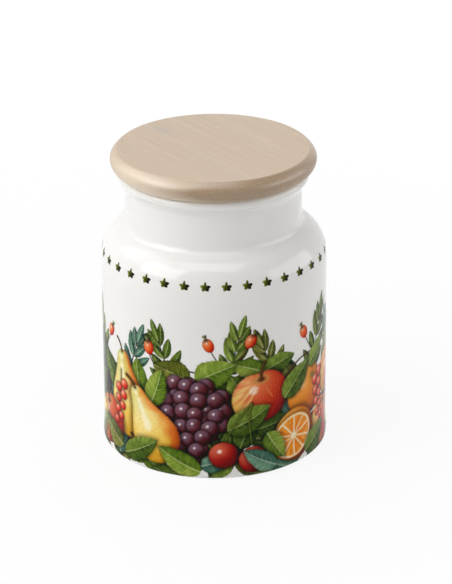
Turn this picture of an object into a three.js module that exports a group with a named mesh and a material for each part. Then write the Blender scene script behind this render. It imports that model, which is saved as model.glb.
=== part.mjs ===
// Porcelain storage canister with a turned wooden lid and a silicone sealing ring.
// Millimetres, +Z up. The origin is the centre of the foot ring, on the surface that the jar stands on.
// Every piece is a solid of revolution about Z, drawn as an outline of radius and height.

import * as THREE from "three";

// Jar, outside
const bodyRadius = 55;
const rimHeight = 139.9;
const shoulderDrop = 48.7; // from the rim down to where the straight wall starts to lean in
const leanRadius = 70; // slow curve that the shoulder starts with
const leanSweep = 7.5; // degrees of it
const shoulderRadius = 15.1;
const neckRadius = 42.8;
const neckFillet = 4; // hollow between shoulder and neck
const lipOverhang = 3.2; // how far the lip stands out from the neck
const lipCove = 6; // hollow that carries the neck out to the lip
const lipRound = 2.5;
const footFlare = 0.6; // slight swelling of the wall just above the foot
const footFlareHeight = 14;
const footCorner = 2.5;

// Jar, inside and underneath
const wall = 4.3;
const rimRound = 2.5; // lead-in at the mouth
const floorThickness = 4.4;
const floorCorner = 8;
const footRingWidth = 4; // the bare ring that the jar stands on
const footRecess = 1.8;

// Lid
const lidThickness = 11;
const lidOverhang = 3.75; // how far the lid stands out beyond the lip
const lidBelly = 6; // height of the lid's widest line above the rim
const lidLowerSweep = 76; // degrees that the rounded edge turns below its widest line
const lidRound = 4; // radius of the edge from its widest line up to its bevel
const lidRoundSweep = 35;
const lidBevelSweep = 55; // where the slow curve of the bevel meets the flat top in a crisp arris
const plugDepth = 14;
const plugClearance = 1.2; // between the plug and the bore of the neck
const plugChamfer = 1;
const plugFlange = 3.2; // wood left below the groove
const grooveHeight = 7;
const grooveDepth = 3.2;

// Sealing ring
const sealGap = 0.2; // between the ring and the groove
const sealSqueeze = 0.15; // room left between the lips and the bore
const sealBand = 1.6; // thickness of the band that the lips stand on
const sealLips = 3;
const sealLipRoot = 1.3; // thickness of a lip where it leaves the band
const sealLipTip = 0.4; // radius of a lip's round edge
const sealLipRise = 0.8; // the lips lean upwards, as they bend when the plug goes in

// Faceting
const segments = 64;
const chordGap = 0.08; // greatest distance between an arc and the chords that follow it

// Sizes that follow from the ones above
const rad = THREE.MathUtils.degToRad;
const boreRadius = neckRadius - wall;
const lipRadius = neckRadius + lipOverhang;
const lidRadius = lipRadius + lidOverhang;
const lidTop = rimHeight + lidThickness;
const plugRadius = boreRadius - plugClearance;
const plugBottom = rimHeight - plugDepth;
const grooveRadius = plugRadius - grooveDepth;
const grooveBottom = plugBottom + plugFlange;
const grooveTop = grooveBottom + grooveHeight;

function point(radius, height) {
  return new THREE.Vector2(radius, height);
}

// Points along an arc between two angles in degrees, clockwise where the second is smaller.
function arc(centre, radius, from, to) {
  const chordSweep = 2 * Math.acos(1 - chordGap / radius);
  const steps = Math.max(2, Math.ceil(Math.abs(rad(to - from)) / chordSweep));
  const { x, y } = centre;
  return new THREE.EllipseCurve(x, y, radius, radius, rad(from), rad(to), to < from).getPoints(steps);
}

// Direction from one point to another, in degrees.
function bearing(from, to) {
  return THREE.MathUtils.radToDeg(Math.atan2(to.y - from.y, to.x - from.x));
}

// Revolves an outline about Z. Points that repeat where two curves meet are dropped.
function turned(name, outline, material) {
  const distinct = outline.filter((p, i) => i === 0 || p.distanceTo(outline[i - 1]) > 1e-6);
  const geometry = new THREE.LatheGeometry(distinct, segments).rotateX(Math.PI / 2);
  const mesh = new THREE.Mesh(geometry, material);
  mesh.name = name;
  return mesh;
}

// The jar: up the outside from the recess under the foot, over the lip, and down the inside to the floor.
// The inside of shoulder and neck runs parallel to the outside, one wall away.
function jarBody() {
  const baseRadius = bodyRadius + footFlare;
  const footOuter = baseRadius - footCorner;
  const footInner = footOuter - footRingWidth;
  const floorHeight = footRecess + floorThickness;
  const innerRadius = bodyRadius - wall;

  // The slow curve of the wall runs smoothly into the round of the shoulder.
  const leanCentre = point(bodyRadius - leanRadius, rimHeight - shoulderDrop);
  const leanReach = leanRadius - shoulderRadius;
  const shoulderCentre = point(
    leanCentre.x + leanReach * Math.cos(rad(leanSweep)),
    leanCentre.y + leanReach * Math.sin(rad(leanSweep)),
  );

  // The neck's hollow touches the round of the shoulder, or its level top where the body is much wider.
  const filletRadius = neckRadius + neckFillet;
  const filletReach = Math.max(0, filletRadius - shoulderCentre.x);
  const filletRise = Math.sqrt((shoulderRadius + neckFillet) ** 2 - filletReach ** 2);
  const filletCentre = point(filletRadius, shoulderCentre.y + filletRise);
  const shoulderSweep = bearing(point(0, 0), point(filletReach, filletRise));

  // The cove leaves the neck upright and runs smoothly into the round of the lip.
  const lipCentre = point(lipRadius - lipRound, rimHeight - lipRound);
  const coveReach = neckRadius + lipCove - lipCentre.x;
  const coveDrop = Math.sqrt((lipCove + lipRound) ** 2 - coveReach ** 2);
  const coveCentre = point(neckRadius + lipCove, lipCentre.y - coveDrop);
  const coveEnd = bearing(coveCentre, lipCentre);

  const flareThird = (footFlareHeight - footCorner) / 3;
  const flare = new THREE.CubicBezierCurve(
    point(baseRadius, footCorner),
    point(baseRadius, footCorner + flareThird),
    point(bodyRadius, footFlareHeight - flareThird),
    point(bodyRadius, footFlareHeight),
  );

  const outline = [
    point(0, footRecess),
    ...arc(point(footInner - footRecess, 0), footRecess, 90, 0),
    ...arc(point(footOuter, footCorner), footCorner, -90, 0),
    ...flare.getPoints(4),
    ...arc(leanCentre, leanRadius, 0, leanSweep),
    ...arc(shoulderCentre, shoulderRadius, leanSweep, shoulderSweep),
    ...arc(filletCentre, neckFillet, 180 + shoulderSweep, 180),
    ...arc(coveCentre, lipCove, 180, coveEnd),
    ...arc(lipCentre, lipRound, coveEnd - 180, 90),
    ...arc(point(boreRadius + rimRound, rimHeight - rimRound), rimRound, 90, 180),
    ...arc(filletCentre, neckFillet + wall, 180, 180 + shoulderSweep),
    ...arc(shoulderCentre, shoulderRadius - wall, shoulderSweep, leanSweep),
    ...arc(leanCentre, leanRadius - wall, leanSweep, 0),
    ...arc(point(innerRadius - floorCorner, floorHeight + floorCorner), floorCorner, 0, -90),
    point(0, floorHeight),
  ];
  const porcelain = new THREE.MeshStandardMaterial({ color: 0xf3f2ee, roughness: 0.12, metalness: 0 });
  return turned("jar_body", outline, porcelain);
}

// The lid: out along the bottom of the plug, in and out of the groove, round the edge and over the flat top.
// Its underside rests on the rim.
function woodenLid() {
  const lowerEdge = lidBelly / Math.sin(rad(lidLowerSweep));
  const bellyHeight = rimHeight + lidBelly;
  const roundCentre = point(lidRadius - lidRound, bellyHeight);

  // The bevel leaves the round smoothly and ends at the flat top.
  const roundRise = Math.sin(rad(lidRoundSweep));
  const bevelRise = lidThickness - lidBelly - lidRound * roundRise;
  const bevel = bevelRise / (Math.sin(rad(lidBevelSweep)) - roundRise);
  const bevelReach = bevel - lidRound;
  const bevelCentre = point(
    roundCentre.x - bevelReach * Math.cos(rad(lidRoundSweep)),
    roundCentre.y - bevelReach * roundRise,
  );

  const outline = [
    point(0, plugBottom),
    point(plugRadius - plugChamfer, plugBottom),
    point(plugRadius, plugBottom + plugChamfer),
    point(plugRadius, grooveBottom),
    point(grooveRadius, grooveBottom),
    point(grooveRadius, grooveTop),
    point(plugRadius, grooveTop),
    point(plugRadius, rimHeight),
    ...arc(point(lidRadius - lowerEdge, bellyHeight), lowerEdge, -lidLowerSweep, 0),
    ...arc(roundCentre, lidRound, 0, lidRoundSweep),
    ...arc(bevelCentre, bevel, lidRoundSweep, lidBevelSweep),
    point(0, lidTop),
  ];
  const beech = new THREE.MeshStandardMaterial({ color: 0xd8c4ab, roughness: 0.55, metalness: 0 });
  return turned("wooden_lid", outline, beech);
}

// The ring: a band seated in the groove, with lips that taper towards the bore and lean upwards.
function sealRing() {
  const bandInner = grooveRadius + sealGap;
  const bandOuter = bandInner + sealBand;
  const bandBottom = grooveBottom + sealGap;
  const bandTop = grooveTop - sealGap;
  const tipRadius = boreRadius - sealSqueeze - sealLipTip;
  const lipPitch = (bandTop - bandBottom) / sealLips;

  const outline = [point(bandInner, bandBottom), point(bandOuter, bandBottom)];
  for (let lip = 0; lip < sealLips; lip += 1) {
    const height = bandBottom + (lip + 0.5) * lipPitch;
    const tip = point(tipRadius, height + sealLipRise);
    const lean = bearing(point(bandOuter, height), tip);
    outline.push(
      point(bandOuter, height - sealLipRoot / 2),
      ...arc(tip, sealLipTip, lean - 90, lean + 90),
      point(bandOuter, height + sealLipRoot / 2),
    );
  }
  outline.push(point(bandOuter, bandTop), point(bandInner, bandTop), outline[0].clone());
  const silicone = new THREE.MeshStandardMaterial({ color: 0xe6e5df, roughness: 0.45, metalness: 0 });
  return turned("seal_ring", outline, silicone);
}

const canister = new THREE.Group();
canister.add(jarBody(), sealRing(), woodenLid());

export default canister;
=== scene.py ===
import bpy
import numpy as np
from mathutils import Matrix, Vector


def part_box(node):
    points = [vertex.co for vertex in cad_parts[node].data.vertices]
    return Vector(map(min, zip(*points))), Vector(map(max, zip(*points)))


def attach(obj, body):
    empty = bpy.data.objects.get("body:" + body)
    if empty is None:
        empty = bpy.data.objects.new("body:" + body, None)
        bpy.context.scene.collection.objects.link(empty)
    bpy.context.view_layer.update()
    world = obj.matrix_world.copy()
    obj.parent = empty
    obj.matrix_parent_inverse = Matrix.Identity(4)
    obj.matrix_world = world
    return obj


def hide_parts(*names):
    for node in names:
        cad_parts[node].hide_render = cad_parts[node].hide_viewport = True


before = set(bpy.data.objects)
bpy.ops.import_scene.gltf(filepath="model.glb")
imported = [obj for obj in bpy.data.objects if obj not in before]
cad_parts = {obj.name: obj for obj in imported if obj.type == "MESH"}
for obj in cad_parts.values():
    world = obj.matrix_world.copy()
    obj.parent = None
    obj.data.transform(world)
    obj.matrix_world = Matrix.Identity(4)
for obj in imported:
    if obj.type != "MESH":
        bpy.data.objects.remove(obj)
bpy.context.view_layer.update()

mm = 0.001
tiny = 1e-6  # mm, below which two points are one
crispAngle = 30  # degrees between two faces, above which their edge stays crisp


def linear(values):  # sRGB from 0 to 1 into linear light
    values = np.asarray(values, float)
    return np.where(values <= 0.04045, values / 12.92, ((values + 0.055) / 1.055) ** 2.4)


def srgb(hexText):
    return np.array([int(hexText[k:k + 2], 16) for k in (0, 2, 4)]) / 255


def paint(hexText):  # a hex colour as a shader socket takes it
    return (*linear(srgb(hexText)), 1.0)


# Adds a shader node; a socket gets a value, or a link from (node, output)
def addNode(tree, kind, sockets=None, **settings):
    node = tree.nodes.new(kind)
    for name, value in settings.items():
        setattr(node, name, value)
    for name, value in (sockets or {}).items():
        if isinstance(value, tuple) and isinstance(value[0], bpy.types.Node):
            tree.links.new(value[0].outputs[value[1]], node.inputs[name])
        else:
            node.inputs[name].default_value = value
    return node


def newMaterial(name):
    material = bpy.data.materials.new(name)
    material.use_nodes = True
    material.node_tree.nodes.clear()
    return material, material.node_tree


def finishMaterial(tree, shader):
    addNode(tree, "ShaderNodeOutputMaterial", {"Surface": shader})


def newPiece(name, points, faces, material):
    mesh = bpy.data.meshes.new(name)
    mesh.from_pydata((np.asarray(points).reshape(-1, 3) * mm).tolist(), [], faces)
    mesh.polygons.foreach_set("use_smooth", np.ones(len(mesh.polygons), bool))
    mesh.set_sharp_from_angle(angle=np.radians(crispAngle))
    mesh.materials.append(material)
    mesh.update()
    piece = bpy.data.objects.new(name, mesh)
    bpy.context.scene.collection.objects.link(piece)
    return piece


# Quads between neighbouring rows and columns of a grid of point numbers, facing out when rows go up
def gridFaces(index, wrapColumns=False, wrapRows=False):
    if wrapColumns:
        index = np.concatenate([index, index[:, :1]], 1)
    if wrapRows:
        index = np.concatenate([index, index[:1]], 0)
    low, high = index[:-1], index[1:]
    return np.stack([low[:, :-1], low[:, 1:], high[:, 1:], high[:, :-1]], -1).reshape(-1, 4).tolist()


# An outline of radius and height carried round Z. As a ring it closes on itself, and otherwise its ends
# on the axis become poles with a fan of triangles.
def revolve(name, outline, around, material, ring=False):
    turn = np.arange(around) * 2 * np.pi / around
    body = outline[outline[:, 0] > tiny]
    points = np.stack([
        body[:, :1] * np.sin(turn),
        -body[:, :1] * np.cos(turn),
        np.repeat(body[:, 1:], around, 1),
    ], -1).reshape(-1, 3)
    index = np.arange(len(points)).reshape(-1, around)
    faces = gridFaces(index, True, ring)
    if not ring:
        after = np.roll(index, -1, 1)
        poles = len(points) + np.arange(2)
        points = np.concatenate([points, [[0, 0, outline[0, 1]], [0, 0, outline[-1, 1]]]])
        faces += np.stack([np.full(around, poles[0]), after[0], index[0]], -1).tolist()
        faces += np.stack([index[-1], after[-1], np.full(around, poles[1])], -1).tolist()
    return newPiece(name, points, faces, material)


def smooth(low, high, x):  # 0 below low, 1 above high, an S-curve between
    t = np.clip((x - low) / (high - low), 0, 1)
    return t * t * (3 - 2 * t)


def mix(a, b, t):
    return a + (b - a) * np.asarray(t)[..., None]


# Points on an arc between two angles in degrees, no more than step degrees apart
def arc(centre, radius, start, end, step=5):
    angle = np.radians(np.linspace(start, end, int(np.ceil(abs(end - start) / step)) + 1))
    return np.stack([centre[0] + radius * np.cos(angle), centre[1] + radius * np.sin(angle)], -1)


def bearing(start, end):
    return np.degrees(np.arctan2(end[1] - start[1], end[0] - start[0]))


def joined(*stretches):  # one outline, without the points that two stretches share
    outline = np.concatenate([np.atleast_2d(stretch) for stretch in stretches])
    steps = np.hypot(*np.diff(outline, axis=0).T)
    return outline[np.concatenate([[True], steps > tiny])]


# Camera: the photograph's view, found by fitting the outlines of lid and foot
cameraView = {
    "distance": 1354.8,  # mm from the aim point
    "aimHeight": 78.0,
    "elevation": 23.426,  # degrees, as are the small turns below
    "yaw": 0.244,
    "pitch": -0.125,
    "roll": -0.364,
    "focalPixels": 2764.7,
    "frameHeight": 584,  # pixels
    "sensor": 36.0,  # mm
}


def makeCamera(v):
    tilt = np.radians(v["elevation"])
    side = Vector((1, 0, 0))
    ahead = Vector((0, np.cos(tilt), -np.sin(tilt)))
    up = side.cross(ahead)
    turns = ((ahead, side, v["yaw"]), (ahead, up, v["pitch"]), (side, up, v["roll"]))
    place = Vector((0, 0, v["aimHeight"])) - ahead * v["distance"]
    for first, second, angle in turns:  # each turn swings the first axis towards the second
        c, s = np.cos(np.radians(angle)), np.sin(np.radians(angle))
        swung = first * c + second * s
        second[:] = second * c - first * s
        first[:] = swung
    data = bpy.data.cameras.new("studio_camera")
    data.sensor_width = v["sensor"]
    data.lens = v["focalPixels"] * v["sensor"] / v["frameHeight"]
    data.clip_start = 0.01
    camera = bpy.data.objects.new("studio_camera", data)
    turned = Matrix((side, up, -ahead)).transposed().to_4x4()
    camera.matrix_world = Matrix.Translation(place * mm) @ turned
    bpy.context.scene.collection.objects.link(camera)
    bpy.context.scene.camera = camera


makeCamera(cameraView)
print("camera placed")

# Studio: a white table under soft boxes, white behind
studio = {
    "tableSize": 3.0,  # m
    "tableDrop": 0.05,  # mm below the foot, so that no two faces share a plane
    "shadowReach": (0.1, 0.4),  # m from the jar over which the table fades to plain white
    "tableGlow": 0.88,  # how far the table beside the jar is white to the camera and to reflections
    "ambient": 0.12,  # strength of the white world as a light
    # Soft boxes: degrees turned from the front to the right, degrees up, distance and size in m, watts
    "boxes": {
        "key_box": {"turn": -58, "rise": 30, "distance": 1.3, "size": (0.9, 0.9), "power": 7.9},
        "left_box": {"turn": -98, "rise": 42, "distance": 1.3, "size": (1.1, 1.0), "power": 5.0},
        "front_box": {"turn": -8, "rise": 66, "distance": 1.3, "size": (1.2, 0.7), "power": 4.5},
        "back_box": {"turn": 180, "rise": 58, "distance": 1.3, "size": (1.2, 0.9), "power": 6.2},
        "right_box": {"turn": 86, "rise": 7, "distance": 1.3, "size": (1.4, 1.1), "power": 8.2},
    },
    "aimHeight": 0.09,  # m, where the boxes point
}


def seenOnly(tree):  # 1 for the camera, mirror-like reflections and what is seen through glass
    path = addNode(tree, "ShaderNodeLightPath")
    seen = (path, "Is Camera Ray")
    for ray in ("Is Glossy Ray", "Is Transmission Ray"):
        seen = (addNode(tree, "ShaderNodeMath", {0: seen, 1: (path, ray)}, operation="MAXIMUM"), 0)
    return seen


# The table is board rolled with matt white paint: faintly mottled over a hand's breadth, with the jar's
# shadow close to it and plain white further off
def makeStudio(v):
    material, tree = newMaterial("matt_white_table")
    coords = addNode(tree, "ShaderNodeTexCoord")
    mottle = addNode(tree, "ShaderNodeTexNoise", {"Vector": (coords, "Object"), "Scale": 9.0})
    tone = addNode(tree, "ShaderNodeMapRange", {
        "Value": (mottle, "Fac"), "To Min": 0.88, "To Max": 0.92,
    })
    lit = addNode(tree, "ShaderNodeBsdfDiffuse", {"Color": (tone, 0)})
    glow = addNode(tree, "ShaderNodeEmission", {"Color": (1, 1, 1, 1), "Strength": 1.0})
    away = addNode(tree, "ShaderNodeVectorMath", {0: (coords, "Object")}, operation="LENGTH")
    near, far = v["shadowReach"]
    fade = addNode(tree, "ShaderNodeMapRange", {
        "Value": (away, "Value"), "From Min": near, "From Max": far,
        "To Min": v["tableGlow"], "To Max": 1.0,
    })
    seen = addNode(tree, "ShaderNodeMath", {0: seenOnly(tree), 1: (fade, 0)}, operation="MULTIPLY")
    both = addNode(tree, "ShaderNodeMixShader", {0: (seen, 0), 1: (lit, 0), 2: (glow, 0)})
    finishMaterial(tree, (both, 0))
    half = v["tableSize"] / 2 / mm
    corners = [(x * half, y * half, -v["tableDrop"]) for x, y in ((-1, -1), (1, -1), (1, 1), (-1, 1))]
    newPiece("white_table", corners, [(0, 1, 2, 3)], material)

    world = bpy.data.worlds.new("studio_white")
    world.use_nodes = True
    tree = world.node_tree
    tree.nodes.clear()
    strength = addNode(tree, "ShaderNodeMapRange", {
        "Value": seenOnly(tree), "To Min": v["ambient"], "To Max": 1.0,
    })
    sky = addNode(tree, "ShaderNodeBackground", {"Color": (1, 1, 1, 1), "Strength": (strength, 0)})
    addNode(tree, "ShaderNodeOutputWorld", {"Surface": (sky, 0)})
    bpy.context.scene.world = world

    for name, box in v["boxes"].items():
        light = bpy.data.lights.new(name, "AREA")
        light.shape = "RECTANGLE"
        light.size, light.size_y = box["size"]
        light.energy = box["power"]
        turn, rise = np.radians(box["turn"]), np.radians(box["rise"])
        way = Vector((np.sin(turn) * np.cos(rise), -np.cos(turn) * np.cos(rise), np.sin(rise)))
        lamp = bpy.data.objects.new(name, light)
        lamp.location = Vector((0, 0, v["aimHeight"])) + way * box["distance"]
        lamp.rotation_euler = (-way).to_track_quat("-Z", "Y").to_euler()
        bpy.context.scene.collection.objects.link(lamp)
    bpy.context.scene.view_settings.view_transform = "Standard"


makeStudio(studio)
print("studio lit")

# Jar: one cast piece of porcelain, mm
jar = {
    "wallRadius": 55.0,
    "footFlare": 0.6,
    "footFlareTop": 14.0,
    "footCorner": 2.5,
    "footRing": 4.0,
    "footRecess": 1.8,
    "shoulderDrop": 48.7,
    "leanRadius": 70.0,  # slow curve that the shoulder starts with
    "leanSweep": 7.5,  # degrees
    "shoulderRound": 15.1,
    "neckRadius": 42.8,
    "neckFillet": 4.0,
    "lipOverhang": 3.2,
    "lipCove": 6.0,
    "lipRound": 2.5,
    "rimRound": 2.5,
    "wall": 4.3,
    "floor": 4.4,
    "floorCorner": 8.0,
    "around": 256,
    "glaze": "edebe7",
    "glazeCool": "eae9e7",
    "bareFoot": "e6e0d4",
    "gloss": 0.5,  # specular level of the glaze
    "glossOverInk": 0.08,  # lower, so that the white studio's reflection doesn't grey the inks
}
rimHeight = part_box("jar_body")[1][2] / mm


# Up the outside from the recess under the foot, over the lip and down the inside, one wall away. The
# foot's flare is an S-curve of radius against height, and all else is arcs that run smoothly into one
# another. An arc's last number is its step in degrees.
def jarOutline(v):
    base = v["wallRadius"] + v["footFlare"]
    footOuter = base - v["footCorner"]
    footInner = footOuter - v["footRing"]
    floorTop = v["footRecess"] + v["floor"]
    inner = v["wallRadius"] - v["wall"]
    bore = v["neckRadius"] - v["wall"]
    t = np.linspace(0, 1, 17)
    flareHeight = v["footFlareTop"] - v["footCorner"]
    flareRadius = base - v["footFlare"] * smooth(0, 1, t)
    flare = np.stack([flareRadius, v["footCorner"] + flareHeight * t], -1)
    lean = (v["wallRadius"] - v["leanRadius"], rimHeight - v["shoulderDrop"])
    tilt = np.radians(v["leanSweep"])
    leanReach = v["leanRadius"] - v["shoulderRound"]
    shoulder = (lean[0] + leanReach * np.cos(tilt), lean[1] + leanReach * np.sin(tilt))
    reach = v["neckRadius"] + v["neckFillet"] - shoulder[0]
    rise = np.sqrt((v["shoulderRound"] + v["neckFillet"]) ** 2 - reach ** 2)
    fillet = (shoulder[0] + reach, shoulder[1] + rise)
    sweep = bearing(shoulder, fillet)
    lip = (v["neckRadius"] + v["lipOverhang"] - v["lipRound"], rimHeight - v["lipRound"])
    coveReach = v["neckRadius"] + v["lipCove"] - lip[0]
    coveDrop = np.sqrt((v["lipCove"] + v["lipRound"]) ** 2 - coveReach ** 2)
    cove = (lip[0] + coveReach, lip[1] - coveDrop)
    coveEnd = bearing(cove, lip)
    wallUp = [(v["wallRadius"], z) for z in np.linspace(v["footFlareTop"], lean[1], 12)]
    neckUp = [(v["neckRadius"], z) for z in np.linspace(fillet[1], cove[1], 8)]
    outside = joined(
        arc((footOuter, v["footCorner"]), v["footCorner"], -90, 0, 7),
        flare,
        wallUp,
        arc(lean, v["leanRadius"], 0, v["leanSweep"], 0.75),
        arc(shoulder, v["shoulderRound"], v["leanSweep"], sweep, 2.5),
        arc(fillet, v["neckFillet"], 180 + sweep, 180, 6),
        neckUp,
        arc(cove, v["lipCove"], 180, coveEnd, 4),
        arc(lip, v["lipRound"], coveEnd - 180, 90, 7),
    )
    inside = joined(
        arc((bore + v["rimRound"], rimHeight - v["rimRound"]), v["rimRound"], 90, 180, 7),
        arc(fillet, v["neckFillet"] + v["wall"], 180, 180 + sweep, 5),
        arc(shoulder, v["shoulderRound"] - v["wall"], sweep, v["leanSweep"], 5),
        arc(lean, v["leanRadius"] - v["wall"], v["leanSweep"], 0, 1.5),
        arc((inner - v["floorCorner"], floorTop + v["floorCorner"]), v["floorCorner"], 0, -90, 7),
        (0, floorTop),
    )
    recessRound = arc((footInner - v["footRecess"], 0), v["footRecess"], 90, 0, 10)
    recess = joined((0, v["footRecess"]), recessRound)
    return joined(recess, outside, inside), outside


# Porcelain, slip cast and dipped in clear glaze: a smooth wet-looking white, faintly uneven where the
# glaze pooled, with the foot ring wiped bare and matt. With ink, the print lies under the same glaze.
def glazedPorcelain(name, v, inked):
    material, tree = newMaterial(name)
    coords = addNode(tree, "ShaderNodeTexCoord")
    pool = addNode(tree, "ShaderNodeTexNoise", {
        "Vector": (coords, "Object"), "Scale": 1 / (38 * mm), "Detail": 2.0,
    })
    white = addNode(tree, "ShaderNodeMix", {
        0: (pool, "Fac"), 6: paint(v["glaze"]), 7: paint(v["glazeCool"]),
    }, data_type="RGBA")
    place = addNode(tree, "ShaderNodeSeparateXYZ", {0: (coords, "Object")})
    bare = addNode(tree, "ShaderNodeMapRange", {  # 1 on the lowest fifth of a millimetre
        "Value": (place, "Z"), "From Min": 0.45 * mm, "From Max": 0.2 * mm,
    })
    foot = addNode(tree, "ShaderNodeMix", {
        0: (bare, 0), 6: (white, 2), 7: paint(v["bareFoot"]),
    }, data_type="RGBA")
    colour = (foot, 2)
    if inked:
        ink = addNode(tree, "ShaderNodeAttribute", attribute_name="ink")
        printed = addNode(tree, "ShaderNodeMix", {
            0: (ink, "Alpha"), 6: (foot, 2), 7: (ink, "Color"),
        }, data_type="RGBA")
        colour = (printed, 2)
    shine = addNode(tree, "ShaderNodeMapRange", {
        "Value": (pool, "Fac"), "To Min": 0.03, "To Max": 0.07,
    })
    rough = addNode(tree, "ShaderNodeMix", {0: (bare, 0), 2: (shine, 0), 3: 0.6}, data_type="FLOAT")
    ripple = addNode(tree, "ShaderNodeTexNoise", {
        "Vector": (coords, "Object"), "Scale": 1 / (16 * mm), "Detail": 1.0,
    })
    wave = addNode(tree, "ShaderNodeBump", {
        "Height": (ripple, "Fac"), "Strength": 0.2, "Distance": 0.05 * mm,
    })
    glaze = addNode(tree, "ShaderNodeBsdfPrincipled", {
        "Base Color": colour, "Roughness": (rough, 0), "IOR": 1.52, "Normal": (wave, 0),
        "Specular IOR Level": v["glossOverInk"] if inked else v["gloss"],
    })
    finishMaterial(tree, (glaze, 0))
    return material


wholeOutline, outerOutline = jarOutline(jar)
porcelain = glazedPorcelain("glazed_porcelain", jar, False)
jarPiece = revolve("porcelain_jar", wholeOutline, jar["around"], porcelain)
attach(jarPiece, "jar")
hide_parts("jar_body")
print("jar turned", len(jarPiece.data.polygons), "faces")

runLength = np.concatenate([[0], np.cumsum(np.hypot(*np.diff(outerOutline, axis=0).T))])
tiltSpan = 0.6  # mm of run over which the wall's slope is taken


def outlineAt(run):  # radius and height at a run up the outline
    return np.stack([np.interp(run, runLength, outerOutline[:, k]) for k in (0, 1)])


# A place on the outside of the jar: mm along the wall from the front, mm of run up the outline, and mm
# of lift along the wall's normal, which is its slope turned by a quarter
def onWall(along, run, lift):
    radius, height = outlineAt(run)
    slopeR, slopeZ = (outlineAt(run + tiltSpan / 2) - outlineAt(run - tiltSpan / 2)) / tiltSpan
    radius, height = radius + lift * slopeZ, height - lift * slopeR
    turn = along / jar["wallRadius"]
    return np.stack([radius * np.sin(turn), -radius * np.cos(turn), height], -1)


def runAt(height):  # run up the outline at a height on the wall
    return np.interp(height, outerOutline[:, 1], runLength)


# Transfer print: a painted garland of fruit, worked out as ink on an unrolled sheet and laid twice
# round the jar, mm
fruitPrint = {
    "low": 0.9,  # above the table
    "high": 88.0,
    "pitch": 0.36,  # between points of the sheet
    "lift": 0.04,  # of the film over the glaze
    "leastCover": 0.01,  # share of ink below which there is no film
}


latticeSize = 64
lattice = np.random.default_rng(7).uniform(-1, 1, (latticeSize, latticeSize))


def latticeAt(i, j):
    return lattice[i % latticeSize, j % latticeSize]


# Noise from -1 to 1: random heights on a grid of that size, joined by S-curves
def grain(x, y, size=1.0):
    x, y = x / size, y / size
    i, j = np.floor(x).astype(int), np.floor(y).astype(int)
    a, b = smooth(0, 1, x - i), smooth(0, 1, y - j)
    low = latticeAt(i, j) * (1 - a) + latticeAt(i + 1, j) * a
    high = latticeAt(i, j + 1) * (1 - a) + latticeAt(i + 1, j + 1) * a
    return low * (1 - b) + high * b


def speckle(x, y, size):  # distance to one random dot in each cell of a grid of that size
    i, j = np.floor(x / size).astype(int), np.floor(y / size).astype(int)
    dotX = (i + 0.5 + 0.3 * latticeAt(i, j)) * size
    dotY = (j + 0.5 + 0.3 * latticeAt(j + 17, i + 5)) * size
    return np.hypot(x - dotX, y - dotY)


def ramp(tone, inks):  # inks spread evenly from tone 0 to tone 1
    colours = np.array([srgb(ink) for ink in inks])
    stops = np.linspace(0, 1, len(inks))
    return np.stack([np.interp(tone, stops, colours[:, k]) for k in range(3)], -1)


def blankSheet(width, low, high, pitch):
    columns, rows = round(width / pitch), round((high - low) / pitch) + 1
    return {
        "width": width,
        "pitch": pitch,
        "along": np.arange(columns) * width / columns - width / 2,
        "up": np.linspace(low, high, rows),
        "colour": np.ones((rows, columns, 3)),
        "cover": np.zeros((rows, columns)),
    }


# The stretch of the sheet round a point: which rows and columns, their places in axes turned by turn
# degrees, and their places in the sheet's own axes. It wraps at the seam.
def patchAt(sheet, s, h, reach, turn=0.0):
    ds = (sheet["along"] - s + sheet["width"] / 2) % sheet["width"] - sheet["width"] / 2
    columns = np.flatnonzero(np.abs(ds) < reach)
    columns = columns[np.argsort(ds[columns])]
    rows = np.flatnonzero(np.abs(sheet["up"] - h) < reach)
    dx, dy = np.meshgrid(ds[columns], sheet["up"][rows] - h)
    c, n = np.cos(np.radians(turn)), np.sin(np.radians(turn))
    return np.ix_(rows, columns), dx * c + dy * n, dy * c - dx * n, dx, dy


rimDark = 0.26  # how much darker a painted shape is at its rim
rimWidth = 0.4  # mm


# Lays ink where inside, a distance in mm, is above 0, with a darker rim that fades inwards, and darkens
# the print just outside it as a bell curve of the distance
def lay(sheet, where, inside, colour, shadow=0.3, spread=1.3):
    printed = sheet["cover"][where]
    dark = shadow * np.exp(-(np.minimum(inside, 0) / spread) ** 2) * printed
    under = sheet["colour"][where] * (1 - dark[..., None])
    rim = rimDark * np.exp(-np.maximum(inside, 0) / rimWidth)
    cover = smooth(-0.5, 0.5, inside / sheet["pitch"])
    sheet["colour"][where] = mix(under, np.clip(colour, 0, 1) * (1 - rim[..., None]), cover)
    sheet["cover"][where] = np.maximum(printed, cover)


# Where the light on the painted fruit comes from, and half way from it to the eye
paintLamp = np.array([-0.5, 0.55, 0.67]) / np.linalg.norm([-0.5, 0.55, 0.67])
paintGleam = (paintLamp + [0, 0, 1]) / np.linalg.norm(paintLamp + [0, 0, 1])


# How lit a swelling of height z is, from 0 in shade to 1 facing the lamp, and how near it is to the
# lamp's mirror image: the cosines between its normal and the lamp, and between its normal and half way
# from lamp to eye
def modelled(z, dx, dy):
    gy, gx = np.gradient(z, dy[:, 0], dx[0])
    normal = np.stack([-gx, -gy, np.ones_like(z)], -1)
    normal /= np.linalg.norm(normal, axis=-1, keepdims=True)
    return 0.5 + 0.5 * (normal @ paintLamp), np.clip(normal @ paintGleam, 0, 1)


barkInks = ["2a1a0c", "5b3d1e", "8a6a3c"]
stalkInks = ["3a4416", "6b7a2c", "9aa552"]


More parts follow.
